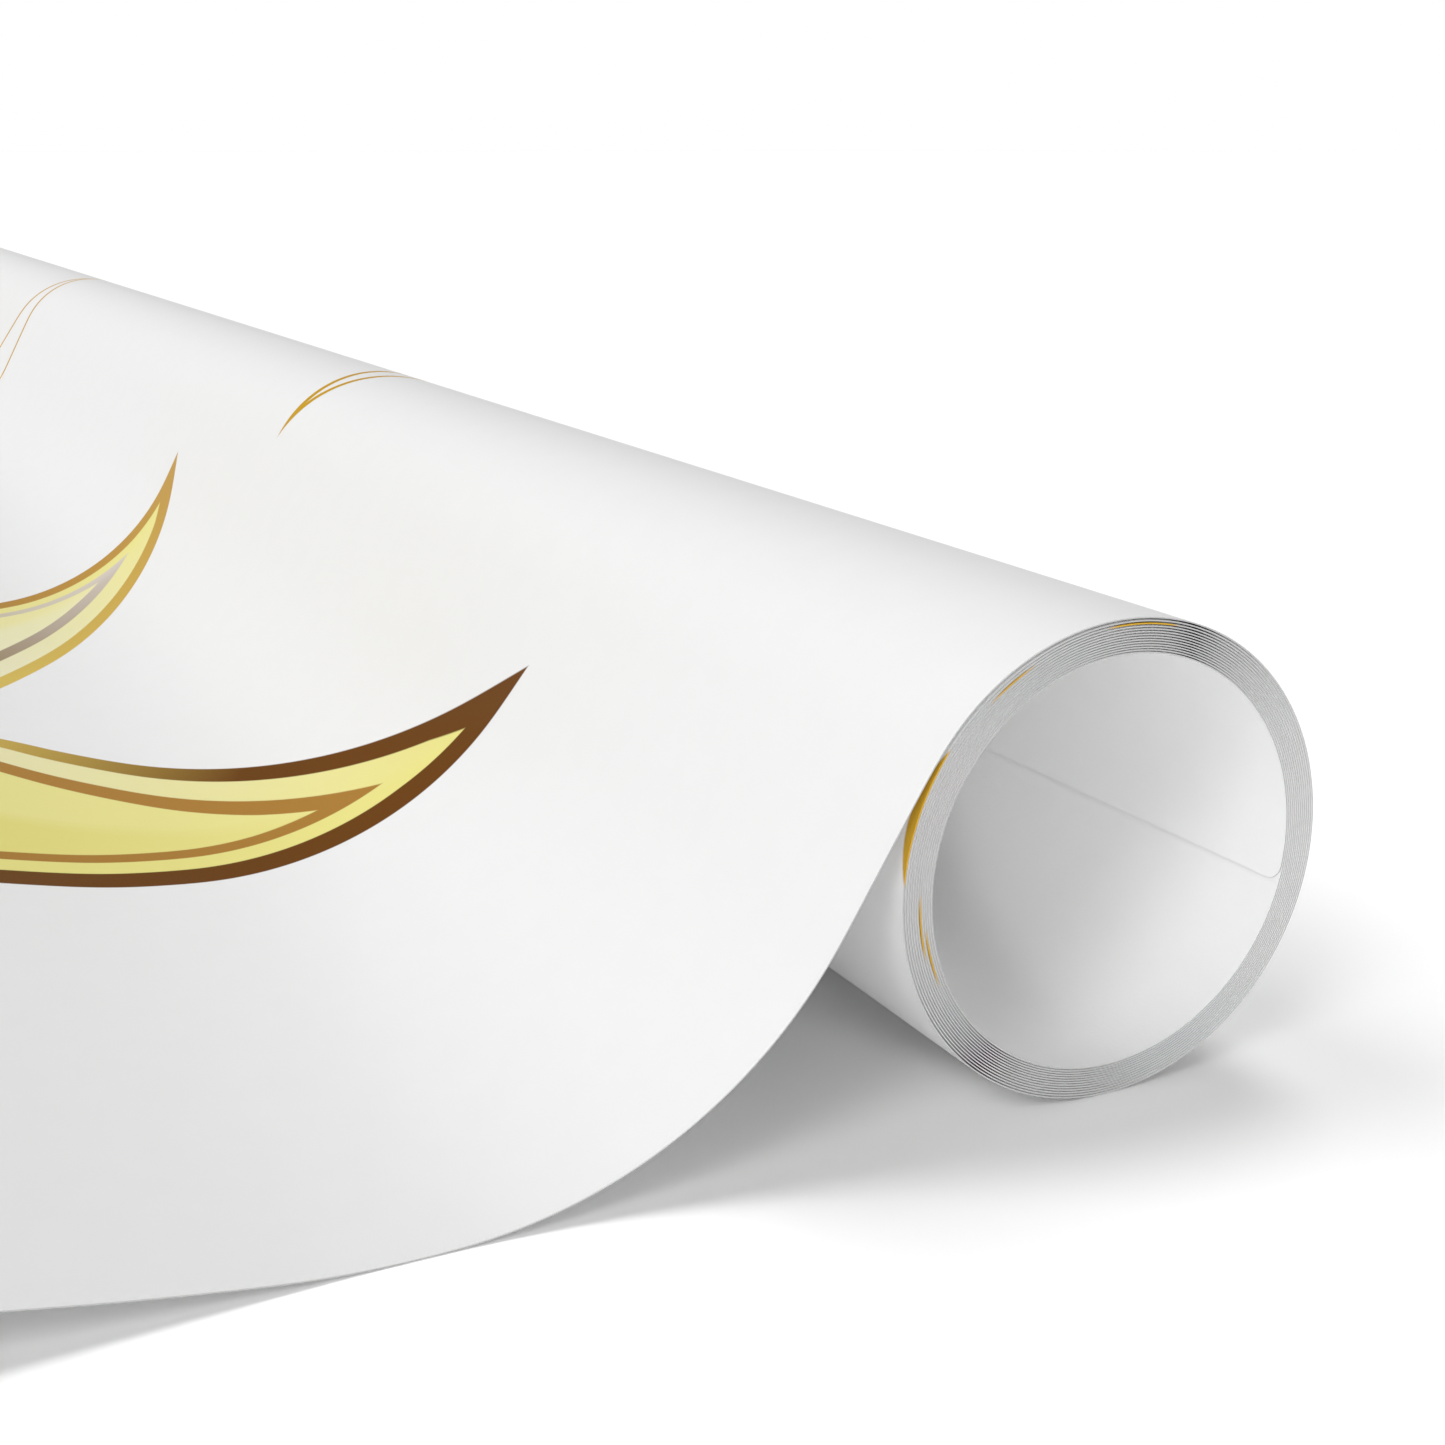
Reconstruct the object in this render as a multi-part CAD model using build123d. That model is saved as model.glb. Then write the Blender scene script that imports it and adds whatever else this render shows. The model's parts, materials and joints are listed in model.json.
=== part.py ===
from build123d import *
from math import ceil, cos, degrees, radians, sin
import os

# A coreless roll of gift wrap lying on its side: one sheet, wound so that its outermost turn lifts off
# over the top and runs out towards -Y as a loose tail.
# Millimetres, +X along the roll, +Z up. Angles run from +Y towards +Z.
# The sheet is cut into one solid per turn of the roll and one per bend of the tail.

# the sheet, laid flat
SHEET_WIDTH = 762.0
SHEET_LENGTH = 1829.0
PAPER = 0.11
CORNER = 1.4

# the wound part
BORE_R = 17.93
START_ANGLE = -14.0
JOIN_ANGLE = 60.0
LEAVE_ANGLE = 148.6
FULL_TURNS = 13
INNER_STEP = 0.14
FIRST_PITCH = 0.206
LAST_PITCH = 0.247
LIFT = 0.35
ROLL_CUT = 20.0

# the tail, from the roll outwards: radii at mid-paper, turns in degrees
SWEEP_R = 38.9
SWEEP_PARTS = 4
FOOT_LENGTH = 2.6
RISE_R = 69.3
RISE_TURN = 7.5
RAMP_R = 302.0
RAMP_TURN = 3.7
CREST_R = 84.0
LANDING_R = 84.0
HINGE_GAP = 0.16
TAIL_SAG = 0.08

HALF = PAPER / 2


def polar(centre, radius, angle):
    """The point of a circle at an angle."""
    return centre + Vector(cos(radians(angle)), sin(radians(angle))) * radius


class Arc:
    """A bend of the sheet's mid-line. side is 1 with its printed face outwards, -1 with it inwards."""

    def __init__(self, centre, radius, start, stop, side=1):
        self.centre, self.radius, self.start, self.stop, self.side = centre, radius, start, stop, side
        self.length = radius * radians(abs(stop - start))

    def edge(self, offset):
        reach = self.radius + offset * self.side
        return CenterArc(self.centre, reach, self.start, self.stop - self.start)

    def ends(self, offset):
        reach = self.radius + offset * self.side
        return polar(self.centre, reach, self.start), polar(self.centre, reach, self.stop)


class Straight:
    """A flat stretch of the sheet's mid-line, from a point along a heading."""

    def __init__(self, start, heading, length):
        self.start, self.heading, self.length = start, heading, length

    def edge(self, offset):
        return Line(*self.ends(offset))

    def ends(self, offset):
        first = polar(self.start, offset, self.heading - 90)
        return first, polar(first, self.length, self.heading)


def cut_arc(centre, radius, start, stop, longest, side=1):
    """A bend as equal arcs, none longer than an angle."""
    count = ceil(abs(stop - start) / longest - 0.01)
    marks = [start + (stop - start) * k / count for k in range(count + 1)]
    return [Arc(centre, radius, a, b, side) for a, b in zip(marks, marks[1:])]


class Walk:
    """Lays the tail outwards from the roll, keeping the end point, the heading and the length used."""

    def __init__(self, at, heading):
        self.at, self.heading, self.used = at, heading, 0.0

    def straight(self, length):
        piece = Straight(self.at, self.heading, length)
        self.at = piece.ends(0)[1]
        self.used += length
        return piece

    def bend(self, radius, turn):
        """A positive turn raises the sheet's far end, and a negative one lowers it."""
        side = -1 if turn > 0 else 1
        centre = polar(self.at, radius, self.heading + 90 * side)
        start = self.heading - 90 * side
        arcs = cut_arc(centre, radius, start, start - turn, 2 * degrees((2 * TAIL_SAG / radius) ** 0.5), side)
        self.at = arcs[-1].ends(0)[1]
        self.heading -= turn
        self.used += sum(a.length for a in arcs)
        return arcs


def strip(*pieces):
    """The sheet's solid along tangent pieces of mid-line."""
    printed = [p.edge(HALF) for p in pieces]
    blank = [p.edge(-HALF) for p in pieces]
    first = Line(pieces[0].ends(HALF)[0], pieces[0].ends(-HALF)[0])
    last = Line(pieces[-1].ends(HALF)[1], pieces[-1].ends(-HALF)[1])
    outline = make_face(printed + [first] + blank + [last]).face()
    return Solid.extrude(Plane.YZ.offset(-SHEET_WIDTH / 2) * outline, Vector(SHEET_WIDTH, 0, 0))


def rounded(solid, corner):
    """Rounds the sheet's two corners at a point of its mid-line."""
    at = Vector(0, corner.X, corner.Y)
    short = [e for e in solid.edges() if abs(e.length - PAPER) < 0.01]
    short.sort(key=lambda e: (Vector(0, e.center().Y, e.center().Z) - at).length)
    return solid.fillet(CORNER, short[:2])


nodes = {}

# the wound part: half circles whose centres step apart, so that each turn clears the one inside it;
# the first turn keeps the bore round, then steps out over the sheet's inner end
centre, radius = Vector(0, 0), BORE_R + HALF
pieces = cut_arc(centre, radius, START_ANGLE, JOIN_ANGLE, ROLL_CUT)
nodes["inner_end"] = rounded(strip(*pieces), pieces[0].ends(0)[0])
wound = sum(p.length for p in pieces)
for turn in range(FULL_TURNS):
    pieces = []
    for half in (2 * turn, 2 * turn + 1):
        start = JOIN_ANGLE + 180 * half
        pitch = FIRST_PITCH + (LAST_PITCH - FIRST_PITCH) * half / (2 * FULL_TURNS)
        growth = pitch / 2 if half > 2 else INNER_STEP * min(half, 1)
        centre, radius = polar(centre, -growth, start), radius + growth
        pieces += cut_arc(centre, radius, start, start + 180, ROLL_CUT)
    nodes[f"wrap_{turn + 1:02d}"] = strip(*pieces)
    wound += sum(p.length for p in pieces)
floor = centre.Y - radius - HALF
back = centre.X + radius + HALF

# the outermost turn stands off the roll over the top
top = JOIN_ANGLE + 360 * FULL_TURNS
leave = LEAVE_ANGLE + 360 * FULL_TURNS
centre, radius = polar(centre, -LIFT, top), radius + LIFT
pieces = cut_arc(centre, radius, top, leave - degrees(HINGE_GAP / 2 / radius), ROLL_CUT)
nodes["outer_wrap"] = strip(*pieces)
wound += sum(p.length for p in pieces) + HINGE_GAP / 2

# the tail falls straight, then sweeps round to lie on the floor
walk = Walk(polar(centre, radius, leave), LEAVE_ANGLE + 90)
lift_hinge = walk.at
fall = walk.heading - 180
height = walk.at.Y - (floor + HALF) - SWEEP_R * (1 - cos(radians(fall)))
walk.straight(HINGE_GAP / 2)
nodes["tail_drop"] = strip(walk.straight(height / sin(radians(fall)) - HINGE_GAP / 2))
for part in range(SWEEP_PARTS):
    nodes[f"tail_sweep_{part + 1}"] = strip(*walk.bend(SWEEP_R, fall / SWEEP_PARTS))
nodes["tail_foot"] = strip(walk.straight(FOOT_LENGTH))
walk.straight(HINGE_GAP / 2)
floor_hinge = walk.at
walk.straight(HINGE_GAP / 2)

# then it rises in a low hump and lands again, and its free end lies flat
nodes["tail_rise"] = strip(*walk.bend(RISE_R, RISE_TURN), *walk.bend(RAMP_R, RAMP_TURN))
climb = RISE_TURN + RAMP_TURN
nodes["tail_crest"] = strip(*walk.bend(CREST_R, -2 * climb))
height = walk.at.Y - (floor + HALF) - LANDING_R * (1 - cos(radians(climb)))
nodes["tail_fall"] = strip(walk.straight(height / sin(radians(climb))))
nodes["tail_landing"] = strip(*walk.bend(LANDING_R, climb))
end = strip(walk.straight(SHEET_LENGTH - wound - walk.used))
nodes["tail_end"] = rounded(end, walk.at)

# the frame's origin is on the floor, midway along and across the whole thing
origin = Vector(0, (back + walk.at.X) / 2, floor)
for hinge in (lift_hinge, floor_hinge):
    print("hinge line at", round(hinge.X - origin.Y, 4), round(hinge.Y - origin.Z, 4))
print("bore axis at", round(-origin.Y, 4), round(-origin.Z, 4))
os.makedirs("parts", exist_ok=True)
for name, solid in nodes.items():
    solid.label = name
    export_step(solid.moved(Location(-origin)), f"parts/{name}.step")
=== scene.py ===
import json
from math import ceil, cos, pi, radians, sin

import bpy
import numpy as np
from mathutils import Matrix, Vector

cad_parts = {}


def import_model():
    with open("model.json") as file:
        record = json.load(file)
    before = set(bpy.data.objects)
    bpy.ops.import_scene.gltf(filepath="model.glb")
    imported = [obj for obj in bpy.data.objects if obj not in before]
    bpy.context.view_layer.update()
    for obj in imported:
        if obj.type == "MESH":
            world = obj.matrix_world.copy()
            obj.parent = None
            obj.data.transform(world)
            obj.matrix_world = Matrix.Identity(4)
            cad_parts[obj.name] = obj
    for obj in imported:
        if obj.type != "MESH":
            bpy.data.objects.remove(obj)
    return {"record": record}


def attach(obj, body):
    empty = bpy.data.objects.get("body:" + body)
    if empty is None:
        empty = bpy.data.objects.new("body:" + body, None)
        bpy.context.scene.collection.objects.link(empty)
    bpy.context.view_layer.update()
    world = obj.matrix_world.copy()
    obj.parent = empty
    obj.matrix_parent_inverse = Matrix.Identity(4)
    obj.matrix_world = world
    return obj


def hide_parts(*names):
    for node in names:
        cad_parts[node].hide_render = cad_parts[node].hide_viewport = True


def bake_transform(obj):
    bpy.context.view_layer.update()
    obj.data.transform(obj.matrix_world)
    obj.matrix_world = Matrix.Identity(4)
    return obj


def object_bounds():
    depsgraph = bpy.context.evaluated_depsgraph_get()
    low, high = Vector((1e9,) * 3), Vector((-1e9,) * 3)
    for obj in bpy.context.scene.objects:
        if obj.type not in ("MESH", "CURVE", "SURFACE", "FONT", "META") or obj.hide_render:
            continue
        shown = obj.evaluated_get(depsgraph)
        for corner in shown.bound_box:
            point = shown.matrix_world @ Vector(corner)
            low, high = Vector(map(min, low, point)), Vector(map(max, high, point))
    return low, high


# A coreless roll of gift wrap with a loose tail: one sheet of paper, printed on its outer face.
# The sheet is rebuilt as fine ribbons along its own mid-line, so that every turn is a real layer.
# Metres, +X along the roll, +Z up. Angles run from +Y towards +Z, in degrees.
# A place on the flat sheet is (x, s): x along the roll, and s past the line where the sheet leaves
# the roll, so s is negative on the roll and positive on the tail.

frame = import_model()
cad_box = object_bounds()

MM = 0.001

# the sheet, laid flat
SHEET_WIDTH = 762 * MM
SHEET_LENGTH = 1829 * MM
PAPER = 0.11 * MM
HALF = PAPER / 2
CORNER = 1.4 * MM

# the wound part, a spiral whose pitch grows a little from the bore outwards
BORE_R = 17.93 * MM
START_ANGLE = -14
JOIN_ANGLE = 60
LEAVE_ANGLE = 148.6
FULL_TURNS = 13
FIRST_PITCH = 0.2015 * MM
LAST_PITCH = 0.238 * MM
LIFT = 0.237 * MM

# the tail: radii at mid-paper, turns in degrees
SWEEP_R = 38.9 * MM
FOOT_LENGTH = 2.92 * MM
RISE_R = 69.3 * MM
RISE_TURN = 7.5
RAMP_R = 302 * MM
RAMP_TURN = 3.7
CREST_R = 84 * MM
LANDING_R = 84 * MM
EASE = 6 * MM  # a change of curvature is spread over this length

# how finely the line is worked out, and the ribbons are cut
ANGLE_STEP = 0.25
LINE_STEP = 0.05 * MM
ROW_STEP = 0.7 * MM
CORNER_ROWS = 7
COLUMNS = 12

# where one ribbon ends and the next begins
CORE_CUT_ANGLE = JOIN_ANGLE + 360 * (FULL_TURNS - 1)
TAIL_CUT = -18 * MM
SWEEP_CUT = 36 * MM

# the print, in millimetres on the flat sheet
PAIR_MIDDLE = 166.1  # from the nearer long edge to the middle line of a pair of petals
ROW_PITCH = 200
PETAL_TIP = (91.1, 9.7)  # from the middle line, and past the leaving line
PETAL_AXIS = 55.6
PETAL_REACH = 97  # from the tip to the centre of the round end
PETAL_HALF_ANGLE = 20.2
PETAL_BANDS = ((0, 0), (4.1, -0.6), (8.6, 0), (11.75, 0.3))  # inset of each band, and its skew
LINE_LEAF_WIDTH = 1.7
TRIM_LEAF_R = 13.8
TRIM_LEAVES = ((-127.1, 1.15), (-282.9, 0.38), (-397.4, 0.14), (-993.9, 0.22), (-1229, 0.18))
NEAR_LEAF = {"middle": 177.6, "tip": -0.7, "half_angle": 12.8, "reach": 49}
FAR_LEAF = {"middle": -106.5, "tip": -27, "half_angle": 19, "reach": 46.8}
SOFT_EDGE = 0.22

BORE = next(m for m in frame["record"]["mounts"] if m["name"] == "spindle_bore")["pos_m"]
FLOOR_Z = cad_box[0].z


# ---------------------------------------------------------------- the sheet's mid-line

def wound_line():
    """Rows of (y, z, heading) from the inner end to JOIN_ANGLE on the last turn; the last radius."""
    last = JOIN_ANGLE + 360 * FULL_TURNS
    angle = np.arange(START_ANGLE, last + ANGLE_STEP / 2, ANGLE_STEP)
    turns = (angle - START_ANGLE) / 360
    growth = (LAST_PITCH - FIRST_PITCH) / (2 * FULL_TURNS)
    radius = BORE_R + HALF + FIRST_PITCH * turns + growth * turns ** 2
    drift = np.degrees(np.arctan2(np.gradient(radius, np.radians(angle)), radius))
    y = BORE[1] + radius * np.cos(np.radians(angle))
    z = BORE[2] + radius * np.sin(np.radians(angle))
    return np.stack([y, z, angle + 90 - drift], axis=1), radius[-1]


def tail_stretches(heading, radius, drop, fall):
    """(length, turn) of each stretch past JOIN_ANGLE but the last. Turns the roll's way are positive."""
    climb = RISE_TURN + RAMP_TURN
    leaving = LEAVE_ANGLE + 90 + 360 * FULL_TURNS
    over_the_top = ((radius + LIFT) * radians(leaving - heading), leaving - heading)
    bends = [
        (SWEEP_R, 90 - LEAVE_ANGLE), (RISE_R, -RISE_TURN), (RAMP_R, -RAMP_TURN),
        (CREST_R, 2 * climb), (LANDING_R, -climb),
    ]
    sweep, rise, ramp, crest, landing = ((r * radians(abs(turn)), turn) for r, turn in bends)
    return [over_the_top, (drop, 0), sweep, (FOOT_LENGTH, 0), rise, ramp, crest, (fall, 0), landing]


def follow(start, stretches):
    """Rows of (y, z, heading) along stretches, with each change of curvature eased."""
    lengths, turns = np.array(stretches).T
    marks = np.concatenate([[0], np.cumsum(lengths)])
    headings = start[2] + np.concatenate([[0], np.cumsum(turns)])
    before = (-EASE, headings[0] - EASE * turns[0] / lengths[0])
    after = (marks[-1] + EASE, headings[-1])
    knots = np.array([before, *zip(marks, headings), after])
    s = np.arange(0, marks[-1] + LINE_STEP / 2, LINE_STEP)
    window = np.linspace(-EASE / 2, EASE / 2, 61)
    eased = np.mean([np.interp(s + w, *knots.T) for w in window], axis=0)
    middle = np.radians((eased[1:] + eased[:-1]) / 2)
    y = start[0] + np.concatenate([[0], np.cumsum(LINE_STEP * np.cos(middle))])
    z = start[1] + np.concatenate([[0], np.cumsum(LINE_STEP * np.sin(middle))])
    return np.stack([y, z, eased], axis=1), marks


def sheet_line():
    """The whole mid-line: s, and rows of (y, z, heading). Both flat stretches rest on the floor."""
    wound, radius = wound_line()
    steps = np.hypot(*np.diff(wound[:, :2], axis=0).T)
    wound_s = np.concatenate([[0], np.cumsum(steps)])
    drop = fall = SWEEP_R / 3
    for _ in range(3):
        stretches = tail_stretches(wound[-1, 2], radius, drop, fall)
        stretches.append((SHEET_LENGTH - wound_s[-1] - sum(length for length, _ in stretches), 0))
        tail, marks = follow(wound[-1], stretches)
        foot_z = tail[round((marks[3] + marks[4]) / 2 / LINE_STEP), 1]
        drop -= (foot_z - FLOOR_Z - HALF) / sin(radians(LEAVE_ANGLE + 90))
        fall += (tail[-1, 1] - foot_z) / sin(radians(RISE_TURN + RAMP_TURN))
    tail_s = wound_s[-1] + LINE_STEP * np.arange(len(tail))
    leaving_s = wound_s[-1] + marks[1]
    rows = np.concatenate([wound[:-1], tail])
    return np.concatenate([wound_s[:-1], tail_s]) - leaving_s, rows


LINE_S, LINE = sheet_line()
INNER_END, FREE_END = LINE_S[0], LINE_S[-1]
CORE_CUT = LINE_S[round((CORE_CUT_ANGLE - START_ANGLE) / ANGLE_STEP)]


def on_line(s):
    """Rows of (y, z, heading) of the mid-line at places s."""
    return np.stack([np.interp(s, LINE_S, column) for column in LINE.T], axis=1)


# ---------------------------------------------------------------- ribbons of paper

def half_width(s):
    """Half the sheet's width at s, which is less within its rounded corners."""
    to_end = np.minimum(np.minimum(s - INNER_END, FREE_END - s), CORNER)
    return SHEET_WIDTH / 2 - CORNER + np.sqrt(np.maximum(CORNER ** 2 - (CORNER - to_end) ** 2, 0))


def stations(start, stop):
    """Places s across a ribbon, closer together round the sheet's corners."""
    s = np.linspace(start, stop, ceil((stop - start) / ROW_STEP) + 1)
    near = CORNER * (1 - np.cos(np.linspace(0, pi / 2, CORNER_ROWS)))
    if start == INNER_END:
        s = np.concatenate([start + near, s[s > start + CORNER * 1.2]])
    if stop == FREE_END:
        s = np.concatenate([s[s < stop - CORNER * 1.2], stop - near[::-1]])
    return s


def grid_faces(rows, columns):
    """Quads over a grid of points numbered row by row."""
    i, j = np.meshgrid(np.arange(rows - 1), np.arange(columns - 1), indexing="ij")
    corner = (i * columns + j).ravel()
    return np.stack([corner, corner + columns, corner + columns + 1, corner + 1], axis=1)


def ribbon(name, start, stop, materials):
    """A closed ribbon of paper from s = start to stop: printed face, blank face and cut edges."""
    s = stations(start, stop)
    y, z, heading = on_line(s).T
    out = np.stack([np.sin(np.radians(heading)), -np.cos(np.radians(heading))], axis=1)
    across = np.linspace(-1, 1, COLUMNS + 1)
    x = half_width(s)[:, None] * across
    rows, columns = x.shape

    def face_points(offset):
        spread = np.ones(columns)
        return np.stack([x, np.outer(y + offset * out[:, 0], spread),
                         np.outer(z + offset * out[:, 1], spread)], axis=2).reshape(-1, 3)

    points = np.concatenate([face_points(HALF), face_points(-HALF)])
    flat = np.tile(np.stack([x, np.outer(s, np.ones(columns))], axis=2).reshape(-1, 2), (2, 1))
    below = rows * columns
    printed = grid_faces(rows, columns)
    blank = printed[:, ::-1] + below
    i, j = np.arange(rows - 1) * columns, np.arange(columns - 1)
    right, last = i + columns - 1, (rows - 1) * columns
    edges = np.concatenate([
        np.stack([right, right + columns, right + columns + below, right + below], axis=1),
        np.stack([i, i + below, i + columns + below, i + columns], axis=1),
        np.stack([j, j + 1, j + 1 + below, j + below], axis=1),
        np.stack([j + last, j + last + below, j + last + 1 + below, j + last + 1], axis=1),
    ])
    faces = np.concatenate([printed, blank, edges])

    mesh = bpy.data.meshes.new(name)
    mesh.from_pydata(points.tolist(), [], faces.tolist())
    for material in materials:
        mesh.materials.append(material)
    kinds = np.repeat([0, 1, 2], [len(printed), len(blank), len(edges)])
    mesh.polygons.foreach_set("material_index", kinds.astype(np.int32))
    uv = mesh.uv_layers.new(name="flat_sheet")
    uv.data.foreach_set("uv", flat[faces.ravel()].astype(np.float32).ravel())
    smooth_faces(mesh, faces, kinds, out, rows * columns, columns)
    ribbon_object = bpy.data.objects.new(name, mesh)
    bpy.context.scene.collection.objects.link(ribbon_object)
    return ribbon_object


def smooth_faces(mesh, faces, kinds, out, below, columns):
    """Gives both wide faces the line's true normals, so that neighbouring ribbons shade as one."""
    mesh.polygons.foreach_set("use_smooth", np.ones(len(faces), bool))
    flat_normals = np.zeros(len(faces) * 3, np.float32)
    mesh.polygons.foreach_get("normal", flat_normals)
    normals = np.repeat(flat_normals.reshape(-1, 1, 3), 4, axis=1)
    row_out = np.column_stack([np.zeros(len(out)), out])
    row = faces % below // columns
    normals[kinds == 0] = row_out[row[kinds == 0]]
    normals[kinds == 1] = -row_out[row[kinds == 1]]
    mesh.normals_split_custom_set(normals.reshape(-1, 3).tolist())


# ---------------------------------------------------------------- materials

# sRGB paints of a petal: at its tip, far out on its flatter side, and far out on its steeper side
EDGE_PETAL = {
    "outline": ((107, 64, 12), (200, 170, 80), (110, 74, 24)),
    "fill": ((236, 228, 140), (240, 234, 185), (236, 228, 140)),
    "line": ((172, 126, 54), (178, 130, 58), (175, 128, 56)),
    "heart": ((238, 230, 150), (238, 231, 150), (232, 222, 125)),
}
INNER_PETAL = {
    "outline": ((196, 154, 68), (222, 195, 95), (168, 114, 48)),
    "fill": ((238, 230, 145), (240, 236, 205), (238, 230, 160)),
    "line": ((225, 215, 210), (140, 115, 60), (190, 180, 140)),
    "heart": ((240, 233, 170), (240, 238, 205), (240, 233, 170)),
}
LINE_GOLD = (205, 160, 30)
TRIM_GOLD = (206, 162, 50)
PAPER_TONE = 239  # how white paper comes out in the paints above

# the share of light that plain paper gives back, on each face and along the cut edges; the cut edges'
# share is set low as painted shade, standing for the shade in the gaps between the layers
PRINTED_WHITE = 0.68
BLANK_WHITE = 0.9
# painted shade: the cut edges' low share of light stands for the shade in the gaps between the turns of
# the roll
CUT_WHITE_WITH_GAP_SHADE = 0.36
SPECULAR = 0.07


class Signal:
    """A number that a shader works out at each point. Arithmetic with it adds Math nodes."""

    def __init__(self, graph, socket):
        self.graph = graph
        self.socket = socket

    def __add__(self, other):
        return self.graph.math("ADD", self, other)

    def __sub__(self, other):
        return self.graph.math("SUBTRACT", self, other)

    def __rsub__(self, other):
        return self.graph.math("SUBTRACT", other, self)

    def __mul__(self, other):
        return self.graph.math("MULTIPLY", self, other)

    __radd__ = __add__
    __rmul__ = __mul__


class Graph:
    """One material's nodes, built in short calls."""

    def __init__(self, name):
        self.material = bpy.data.materials.new(name)
        self.material.use_nodes = True
        self.tree = self.material.node_tree
        self.shader = self.tree.nodes["Principled BSDF"]

    def feed(self, socket, value):
        """Links a Signal to a socket, or sets the socket's own value."""
        if isinstance(value, Signal):
            self.tree.links.new(value.socket, socket)
        else:
            socket.default_value = value

    def math(self, operation, *values):
        node = self.tree.nodes.new("ShaderNodeMath")
        node.operation = operation
        for socket, value in zip(node.inputs, values):
            self.feed(socket, value)
        return Signal(self, node.outputs[0])

    def clamp(self, value, low=0.0, high=1.0):
        return self.math("MINIMUM", self.math("MAXIMUM", value, low), high)

    def mix(self, share, first, second):
        """A colour between first and second."""
        node = self.tree.nodes.new("ShaderNodeMix")
        node.data_type = "RGBA"
        for number, value in ((0, share), (6, first), (7, second)):
            self.feed(node.inputs[number], value)
        return Signal(self, node.outputs[2])

    def flat_place(self):
        """The sheet's own coordinates (x, s) as a vector, and each in millimetres."""
        uv = self.tree.nodes.new("ShaderNodeUVMap")
        uv.uv_map = "flat_sheet"
        split = self.tree.nodes.new("ShaderNodeSeparateXYZ")
        self.tree.links.new(uv.outputs[0], split.inputs[0])
        x, s = (Signal(self, split.outputs[i]) * 1000 for i in range(2))
        return Signal(self, uv.outputs[0]), x, s

    def noise(self, place, size, stretch=1.0, detail=2.0):
        """Noise between 0 and 1 on the flat sheet, in patches of a given size in metres."""
        scale = self.tree.nodes.new("ShaderNodeVectorMath")
        scale.operation = "MULTIPLY"
        self.feed(scale.inputs[0], place)
        scale.inputs[1].default_value = (1 / (size * stretch), 1 / size, 1)
        node = self.tree.nodes.new("ShaderNodeTexNoise")
        node.inputs["Scale"].default_value = 1.0
        node.inputs["Detail"].default_value = detail
        self.tree.links.new(scale.outputs[0], node.inputs["Vector"])
        return Signal(self, node.outputs["Fac"])

    def finish(self, colour, roughness, height, depth):
        """Feeds the shader; height is a relief between 0 and 1 that is depth metres deep."""
        bump = self.tree.nodes.new("ShaderNodeBump")
        bump.inputs["Distance"].default_value = depth
        self.feed(bump.inputs["Height"], height)
        self.feed(self.shader.inputs["Base Color"], colour)
        self.feed(self.shader.inputs["Roughness"], roughness)
        self.tree.links.new(bump.outputs[0], self.shader.inputs["Normal"])
        self.shader.inputs["Specular IOR Level"].default_value = SPECULAR
        return self.material


def linear(tone):
    """A 0 to 255 sRGB tone as a linear value."""
    share = tone / 255
    return share / 12.92 if share <= 0.04045 else ((share + 0.055) / 1.055) ** 2.4


def ink(paint, white=PRINTED_WHITE):
    """The albedo of a paint that was matched next to paper of a given whiteness."""
    return (*(white * linear(tone) / linear(PAPER_TONE) for tone in paint), 1.0)


def grain(graph, place):
    """The paper's fibre, as a fine relief and a faint cloudiness, both between 0 and 1."""
    fibre = graph.noise(place, 0.3 * MM, stretch=2.2, detail=4.0)
    cloud = graph.noise(place, 5 * MM)
    return fibre, cloud


def paper_colour(graph, fibre, cloud, white):
    """Plain paper, a little uneven with its fibre."""
    shade = 0.3 * fibre + 0.7 * cloud
    return graph.mix(shade, ink((237, 237, 237), white), ink((241, 241, 241), white))


def inside(graph, distance):
    """1 where distance is above zero, over a soft edge of SOFT_EDGE millimetres."""
    return graph.clamp(distance * (1 / SOFT_EDGE) + 0.5)


def leaf_inset(graph, along, across, half_angle, reach):
    """Millimetres inside a leaf, pointed where along is 0 and round about along = reach."""
    side = graph.math("ABSOLUTE", across)
    sine, cosine = sin(radians(half_angle)), cos(radians(half_angle))
    wedge = along * sine - side * cosine
    out = along - reach
    away = graph.math("SQRT", out * out + side * side)
    round_end = reach * sine - away
    past = graph.math("GREATER_THAN", side * sine + along * cosine, reach * cosine)
    return wedge + past * (round_end - wedge)


def zone_paint(graph, paints, far, flatter):
    """A petal zone's colour, from its tip outwards and from side to side."""
    tip, flat_side, steep_side = (ink(paint) for paint in paints)
    return graph.mix(far, tip, graph.mix(flatter, steep_side, flat_side))


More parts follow.
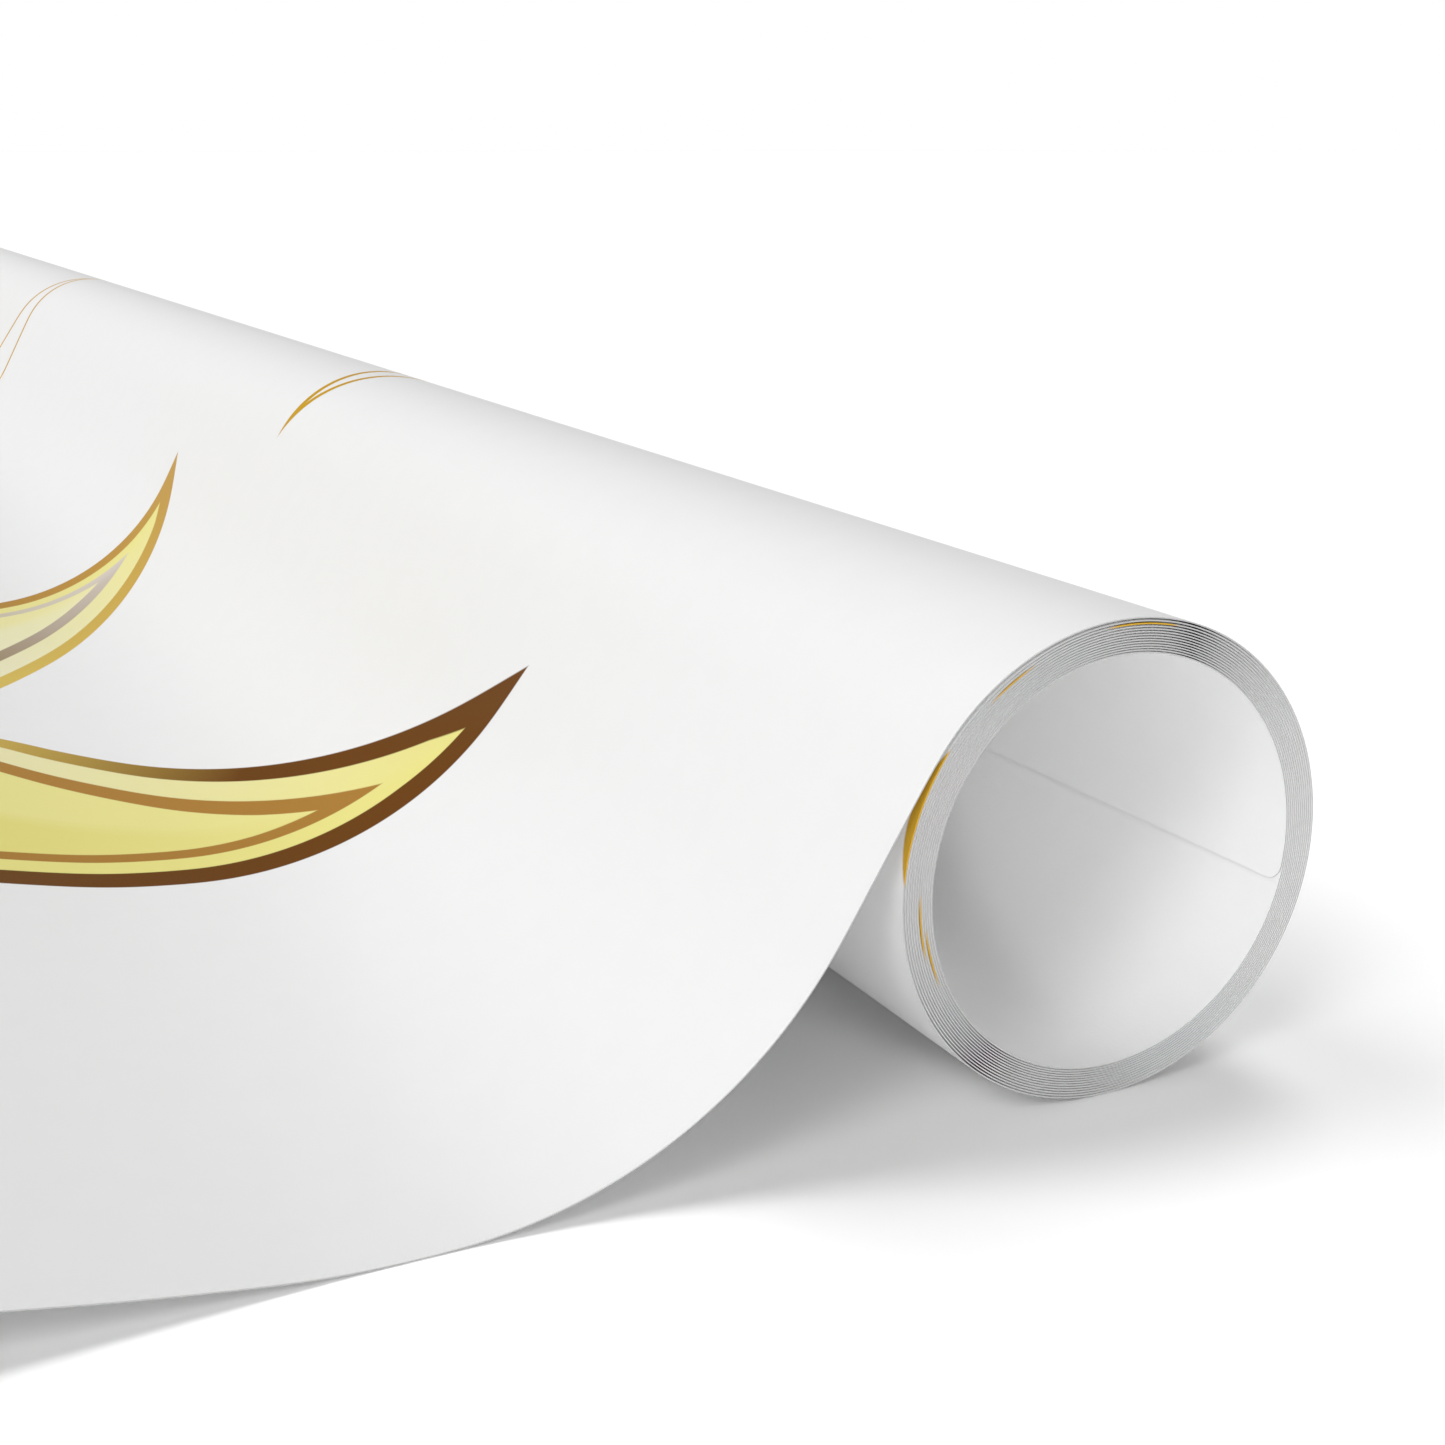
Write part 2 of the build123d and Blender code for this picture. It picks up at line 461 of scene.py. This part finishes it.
def petals(graph, edge, s):
    """Rows of paired petals, the main print: their colour, and how much they cover the paper."""
    p = graph.math("ABSOLUTE", edge - PAIR_MIDDLE)
    row = graph.math("WRAP", s, ROW_PITCH * 0.9, ROW_PITCH * -0.1)
    back, down = PETAL_TIP[0] - p, row - PETAL_TIP[1]
    sine, cosine = sin(radians(PETAL_AXIS)), cos(radians(PETAL_AXIS))
    along = back * cosine + down * sine
    across = back * sine - down * cosine
    inset = leaf_inset(graph, along, across, PETAL_HALF_ANGLE, PETAL_REACH)
    lean = graph.clamp(across * (1 / 3), -1.0, 1.0)
    flatter = graph.clamp(across * 0.25 + 0.5)
    far = graph.clamp((along - 10) * (1 / 80))
    turning = graph.clamp((along - 50) * (1 / 40))
    bands = [inside(graph, inset - (skew * lean + depth)) for depth, skew in PETAL_BANDS]
    is_inner = graph.math("GREATER_THAN", edge, PAIR_MIDDLE)
    colours = []
    for zone in ("outline", "fill", "line", "heart"):
        edge_far = turning if zone == "outline" else far
        colours.append(graph.mix(
            is_inner,
            zone_paint(graph, EDGE_PETAL[zone], edge_far, flatter),
            zone_paint(graph, INNER_PETAL[zone], far, flatter)))
    colour = colours[0]
    for band, next_colour in zip(bands[1:], colours[1:]):
        colour = graph.mix(band, colour, next_colour)
    return colour, bands[0]


def line_leaf(graph, along, across, leaf):
    """A slim leaf drawn as one fine line: how much of it covers the paper."""
    inset = leaf_inset(graph, along, across, leaf["half_angle"], leaf["reach"])
    return inside(graph, inset) - inside(graph, inset - LINE_LEAF_WIDTH)


def trim_leaves(graph, edge, s):
    """Leaves that the sheet's edge cuts off: how much of them covers the paper."""
    cover = 0.0
    for leaf_s, sag in TRIM_LEAVES:
        off = s - leaf_s
        leaf = inside(graph, sag - off * off * (0.5 / TRIM_LEAF_R) - edge)
        cover = graph.math("MAXIMUM", leaf, cover)
    return cover


def printed_paper():
    """Smooth white paper with the print: petals, line leaves, and leaves cut off by the sheet's edge."""
    graph = Graph("printed_paper")
    place, x, s = graph.flat_place()
    edge = SHEET_WIDTH / 2 / MM - graph.math("ABSOLUTE", x)
    fibre, cloud = grain(graph, place)
    colour = paper_colour(graph, fibre, cloud, PRINTED_WHITE)
    petal_colour, cover = petals(graph, edge, s)
    colour = graph.mix(cover, colour, petal_colour)
    row = graph.math("WRAP", s, ROW_PITCH * 0.3, ROW_PITCH * -0.7)
    near_leaf = line_leaf(graph, NEAR_LEAF["tip"] - row, x - NEAR_LEAF["middle"], NEAR_LEAF)
    far_leaf = line_leaf(graph, row - FAR_LEAF["tip"], x - FAR_LEAF["middle"], FAR_LEAF)
    lines = graph.math("MAXIMUM", near_leaf, far_leaf)
    colour = graph.mix(lines, colour, ink(LINE_GOLD))
    cover = graph.math("MAXIMUM", cover, lines)
    trims = trim_leaves(graph, edge, s)
    colour = graph.mix(trims, colour, ink(TRIM_GOLD))
    cover = graph.math("MAXIMUM", cover, trims)
    roughness = 0.5 + 0.08 * fibre - 0.12 * cover
    height = 0.8 * fibre + 0.2 * cover
    return graph.finish(colour, roughness, height, 0.012 * MM)


def blank_paper():
    """The sheet's back: uncoated white paper, with more tooth than the printed face."""
    graph = Graph("blank_paper")
    place, _, _ = graph.flat_place()
    fibre, cloud = grain(graph, place)
    colour = paper_colour(graph, fibre, cloud, BLANK_WHITE)
    return graph.finish(colour, 0.6 + 0.1 * fibre, fibre, 0.02 * MM)


def cut_edge():
    """The sheet's cut edges: raw fibre, painted much greyer than the faces as the shade in the gaps
    between the layers, with the ink of the leaves cut through.
    """
    graph = Graph("cut_edge")
    place, _, s = graph.flat_place()
    fibre, cloud = grain(graph, place)
    # painted shade: the cut edges get the low whiteness that stands for the shade between the layers
    colour = paper_colour(graph, fibre, cloud, CUT_WHITE_WITH_GAP_SHADE)
    colour = graph.mix(trim_leaves(graph, 0.0, s), colour, ink(TRIM_GOLD))
    return graph.finish(colour, 0.7 + 0.1 * fibre, fibre, 0.01 * MM)


# ---------------------------------------------------------------- the pieces

SHEET_MATERIALS = (printed_paper(), blank_paper(), cut_edge())


def declare(start, stop, nodes):
    """Hides the CAD nodes that a ribbon stands for; the length from start to stop is worked out and not
    kept.
    """
    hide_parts(*nodes)
    stop - start


def wound_core():
    """The inner end and every turn but the last two stretches."""
    piece = ribbon("wound_core", INNER_END, CORE_CUT, SHEET_MATERIALS)
    nodes = ["inner_end", *(f"wrap_{turn:02d}" for turn in range(1, FULL_TURNS))]
    declare(INNER_END, CORE_CUT, nodes)
    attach(piece, "roll")


def outer_turn():
    """The last full turn, as far as the top of the roll."""
    piece = ribbon("outer_turn", CORE_CUT, TAIL_CUT, SHEET_MATERIALS)
    declare(CORE_CUT, TAIL_CUT, ["wrap_13", "outer_wrap"])
    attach(piece, "roll")


def tail_upper():
    """The top of the tail, which bends where it leaves the roll."""
    piece = ribbon("tail_upper", TAIL_CUT, SWEEP_CUT, SHEET_MATERIALS)
    nodes = ["tail_drop", "tail_sweep_1", "tail_sweep_2"]
    declare(TAIL_CUT, SWEEP_CUT, nodes)
    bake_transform(piece)


def tail_lower():
    """The rest of the tail, which bends where it meets the floor."""
    piece = ribbon("tail_lower", SWEEP_CUT, FREE_END, SHEET_MATERIALS)
    nodes = ["tail_sweep_3", "tail_sweep_4", "tail_foot", "tail_rise", "tail_crest", "tail_fall",
             "tail_landing", "tail_end"]
    declare(SWEEP_CUT, FREE_END, nodes)
    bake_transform(piece)


# ---------------------------------------------------------------- floor, light and camera

FLOOR_SIZE = 60
FLOOR_TONES = (0.945, 0.955)
FLOOR_DROP = 0.05 * MM  # the floor lies this far under the sheet

CAMERA_PLACE = (0.50906, BORE[1] - 0.09978, 0.07816)
CAMERA_TURN = (74.18, 0, 63.74)
LENS = 50.55

# the surround's brightness at heights from the horizon, 0, to overhead, 1
SKY = ((0.10, 1.0), (0.18, 0.0), (0.25, 0.0), (0.60, 0.37))


def floor():
    """A plain pale floor that fades into the background."""
    graph = Graph("floor")
    coordinates = graph.tree.nodes.new("ShaderNodeTexCoord")
    place = Signal(graph, coordinates.outputs["Object"])
    cloud = graph.noise(place, 0.05)
    darker, lighter = ((tone, tone, tone, 1) for tone in FLOOR_TONES)
    colour = graph.mix(cloud, darker, lighter)
    graph.finish(colour, 0.9 + 0.05 * cloud, cloud, 0.01 * MM)
    bpy.ops.mesh.primitive_plane_add(size=FLOOR_SIZE, location=(0, 0, FLOOR_Z - FLOOR_DROP))
    plane = bpy.context.object
    plane.name = "floor"
    plane.data.materials.append(graph.material)


def soft_sun(name, azimuth, elevation, strength, spread=25):
    """Even soft light from one side. Azimuth runs from +X towards +Y, in degrees."""
    lamp = bpy.data.lights.new(name, "SUN")
    lamp.angle = radians(spread)
    lamp.energy = strength * pi
    holder = bpy.data.objects.new(name, lamp)
    around, up = radians(azimuth), radians(elevation)
    direction = Vector((cos(around) * cos(up), sin(around) * cos(up), sin(up)))
    holder.rotation_euler = direction.to_track_quat("Z", "Y").to_euler()
    bpy.context.scene.collection.objects.link(holder)


def camera():
    """Looks along the roll from just beyond its near end."""
    lens = bpy.data.cameras.new("camera")
    lens.sensor_width = 36
    lens.lens = LENS
    lens.clip_start = 0.005
    lens.clip_end = 200
    holder = bpy.data.objects.new("camera", lens)
    holder.location = CAMERA_PLACE
    holder.rotation_euler = [radians(angle) for angle in CAMERA_TURN]
    bpy.context.scene.collection.objects.link(holder)
    bpy.context.scene.camera = holder


def world():
    """A white horizon, and a dimmer soft light overhead."""
    scene_world = bpy.data.worlds.new("world")
    scene_world.use_nodes = True
    tree = scene_world.node_tree
    direction = tree.nodes.new("ShaderNodeTexCoord")
    split = tree.nodes.new("ShaderNodeSeparateXYZ")
    ramp = tree.nodes.new("ShaderNodeValToRGB")
    ramp.color_ramp.interpolation = "EASE"
    stops = ramp.color_ramp.elements
    while len(stops) < len(SKY):
        stops.new(1.0)
    for stop, (height, tone) in zip(stops, SKY):
        stop.position = height
        stop.color = (tone, tone, tone, 1)
    tree.links.new(direction.outputs["Generated"], split.inputs[0])
    tree.links.new(split.outputs["Z"], ramp.inputs[0])
    tree.links.new(ramp.outputs[0], tree.nodes["Background"].inputs["Color"])
    bpy.context.scene.world = scene_world


floor()
wound_core()
outer_turn()
tail_upper()
tail_lower()
soft_sun("key_right", 300, 40, 0.25)
soft_sun("key_left", 240, 40, 0.20)
soft_sun("high_key", 225, 60, 0.20)
soft_sun("back", 135, 60, 0.30)
soft_sun("bore_side", 330, 2, 0.65, spread=10)
soft_sun("bore_floor", 0, 12, 0.30, spread=10)
world()
camera()
bpy.context.scene.view_settings.view_transform = "Standard"
bpy.context.view_layer.update()
